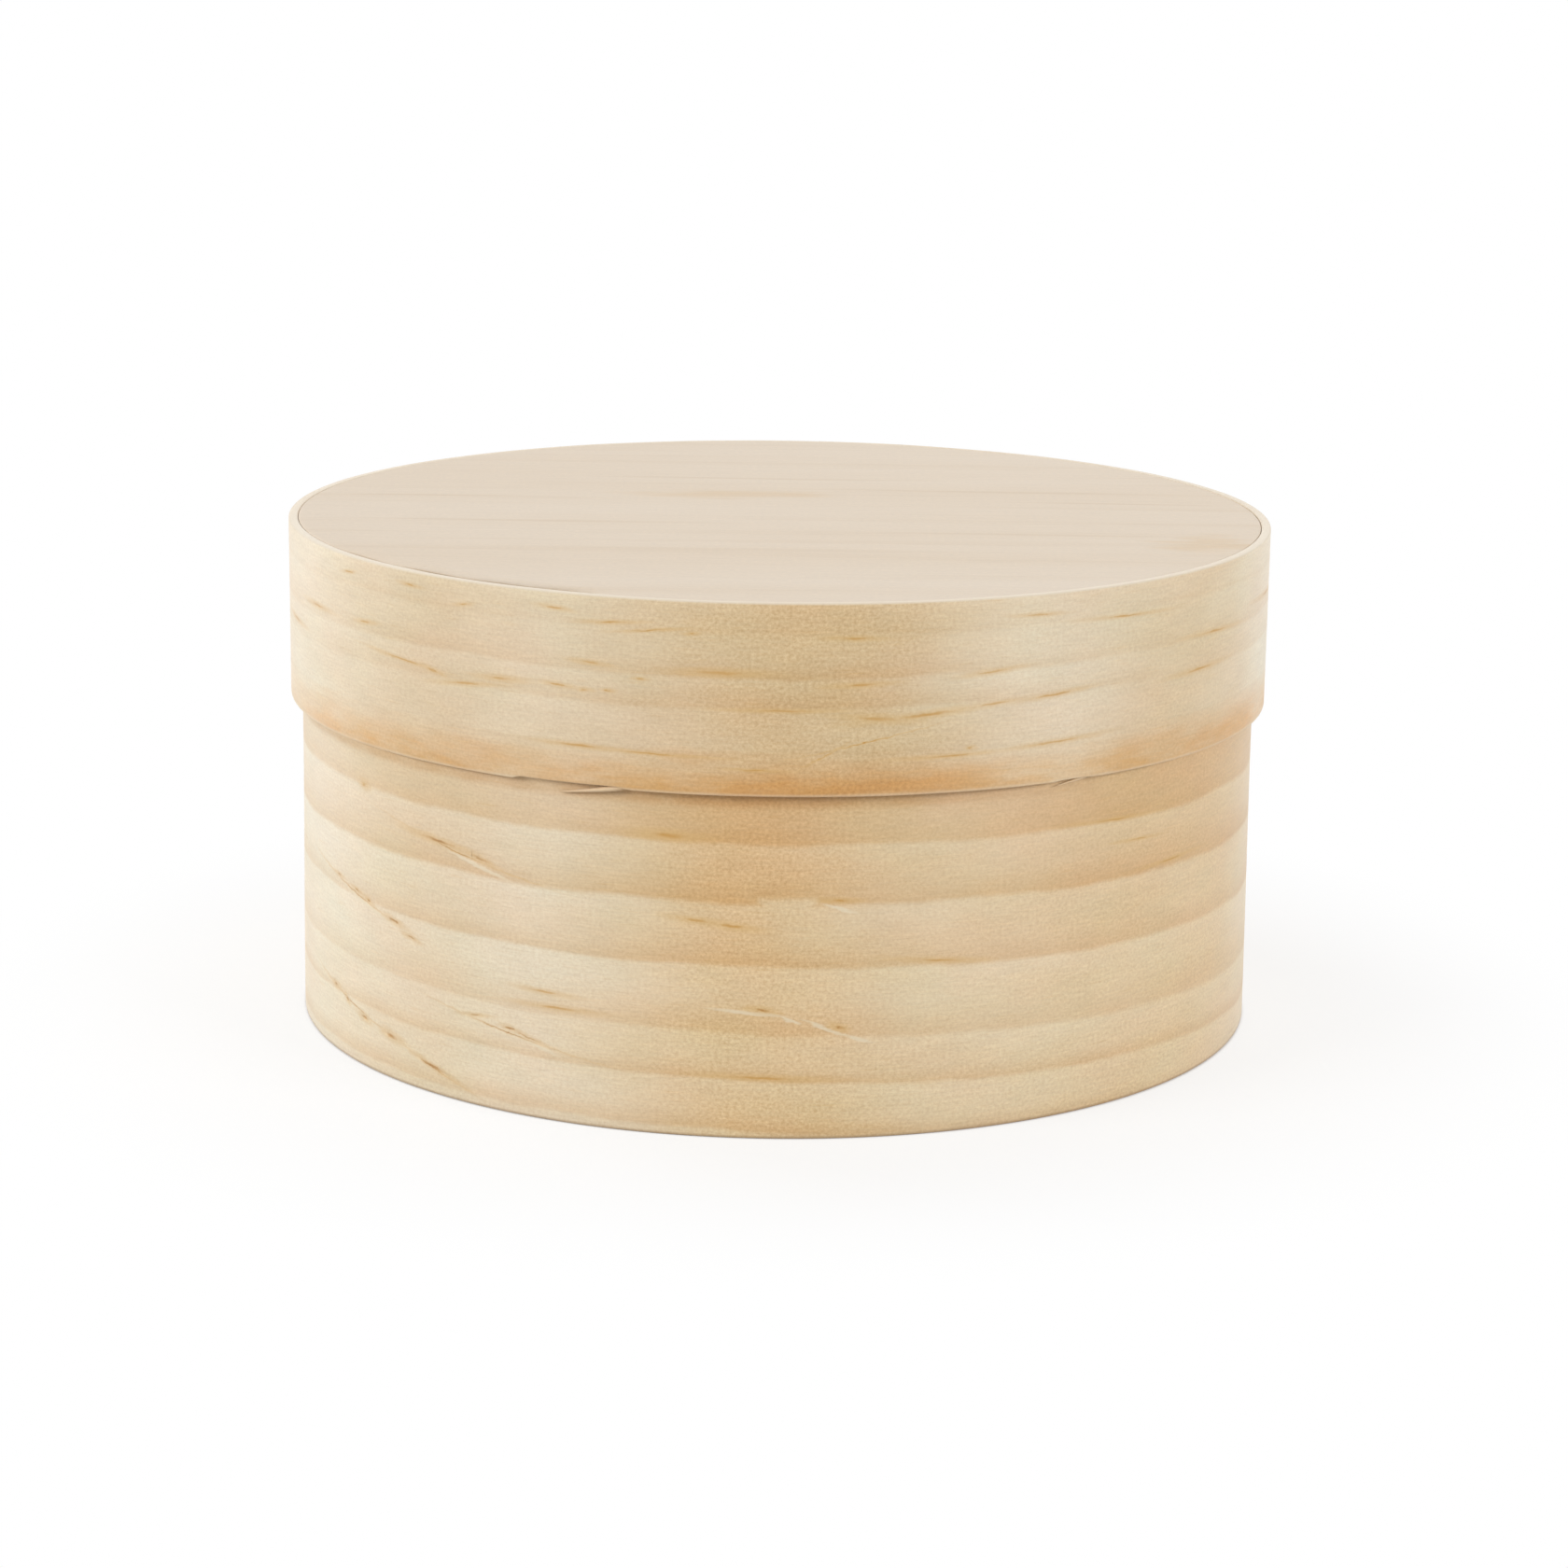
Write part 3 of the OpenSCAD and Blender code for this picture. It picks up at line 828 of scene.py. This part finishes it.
def make_camera():
    data = bpy.data.cameras.new("camera")
    data.sensor_width = SENSOR_MM
    data.lens = FOCAL_PX / IMAGE_PX * SENSOR_MM
    data.shift_x = -AXIS_OFFSET_PX[0] / IMAGE_PX
    data.shift_y = AXIS_OFFSET_PX[1] / IMAGE_PX
    data.clip_start, data.clip_end = 0.01, 100.0
    camera = bpy.data.objects.new("camera", data)
    bpy.context.scene.collection.objects.link(camera)
    pitch, roll = math.radians(CAMERA_PITCH), math.radians(CAMERA_ROLL)
    forward = Vector((0.0, math.cos(pitch), -math.sin(pitch)))
    level = Vector((1.0, 0.0, 0.0))
    upright = level.cross(forward)
    right = math.cos(roll) * level + math.sin(roll) * upright
    up = -math.sin(roll) * level + math.cos(roll) * upright
    place = Vector((0.0, 0.0, CAMERA_TARGET_Z)) - forward * CAMERA_DISTANCE
    camera.matrix_world = Matrix.Translation(place * MM) @ Matrix((right, up, -forward)).transposed().to_4x4()
    bpy.context.scene.camera = camera


def make_lamp(name, direction, height, distance, size, power, colour=(1.0, 1.0, 1.0)):
    """A soft lamp that looks at the box. Direction is in degrees to the right of the camera."""
    data = bpy.data.lights.new(name, "AREA")
    data.shape = "RECTANGLE"
    data.size, data.size_y = size
    data.energy = power
    data.color = colour
    lamp = bpy.data.objects.new(name, data)
    bpy.context.scene.collection.objects.link(lamp)
    a, e = math.radians(direction), math.radians(height)
    back = Vector((math.sin(a) * math.cos(e), -math.cos(a) * math.cos(e), math.sin(e)))
    lamp.location = Vector((0.0, 0.0, 0.04)) + back * distance
    lamp.rotation_mode = "QUATERNION"
    lamp.rotation_quaternion = (-back).to_track_quat("-Z", "Y")


def seen_directly(g):
    """1 for rays that show the background: from the camera, in a gloss, or through glass."""
    path = g.add("LightPath")
    seen = g.math("MAXIMUM", path.outputs["Is Camera Ray"], path.outputs["Is Glossy Ray"])
    return g.math("MAXIMUM", seen, path.outputs["Is Transmission Ray"])


def make_light():
    make_lamp("lamp_left", -58.0, 20.0, 0.9, (0.5, 0.22), 3.62)
    make_lamp("lamp_right", 54.0, 20.0, 0.9, (0.5, 0.22), 3.4)
    make_lamp("lamp_left_back", -125.0, 30.0, 0.9, (0.4, 0.4), 1.8)
    make_lamp("lamp_back", 160.0, 32.0, 1.2, (1.0, 0.8), 3.4)
    world = bpy.data.worlds.new("studio")
    bpy.context.scene.world = world
    world.use_nodes = True
    g = Nodes(world.node_tree)
    strength = g.spread(seen_directly(g), 0.0, 1.0, AMBIENT, 1.0)
    background = g.add("Background", {"Color": (1.0, 1.0, 1.0, 1.0), "Strength": strength})
    g.add("OutputWorld", {0: background.outputs[0]})


def make_floor():
    """A pale floor that takes the shadow of the box and fades to plain white further out."""
    mesh = bpy.data.meshes.new("floor")
    reach = 3.0
    corners = [(-reach, -reach, 0.0), (reach, -reach, 0.0), (reach, reach, 0.0), (-reach, reach, 0.0)]
    mesh.from_pydata(corners, [], [(0, 1, 2, 3)])
    floor = bpy.data.objects.new("floor", mesh)
    bpy.context.scene.collection.objects.link(floor)
    material, g = new_material("floor_white")
    place = g.add("NewGeometry").outputs["Position"]
    away = g.add("VectorMath", {0: place}, operation="LENGTH").outputs["Value"]
    contact = g.spread(away, 0.0734, 0.0739, FLOOR_CONTACT_LIFT - FLOOR_LIFT, 0.0, "SMOOTHSTEP")
    lift = g.math("ADD", g.spread(away, 0.078, 0.135, FLOOR_LIFT, 1.0, "SMOOTHSTEP"), contact)
    seen = seen_directly(g)
    plain = g.math("MULTIPLY", lift, seen)
    grey = g.spread(seen, 0.0, 1.0, FLOOR_GREY, FLOOR_WHITE)
    diffuse = g.add("BsdfDiffuse", {"Color": g.add("CombineXYZ", {0: grey, 1: grey, 2: grey}).outputs[0]})
    white = g.add("Emission", {"Color": (1.0, 1.0, 1.0, 1.0), "Strength": 1.0})
    both = g.add("MixShader", {0: plain, 1: diffuse.outputs[0], 2: white.outputs[0]})
    g.add("OutputMaterial", {0: both.outputs[0]})
    mesh.materials.append(material)


make_camera()
make_box()
make_light()
make_floor()
bpy.context.scene.view_settings.view_transform = "Standard"
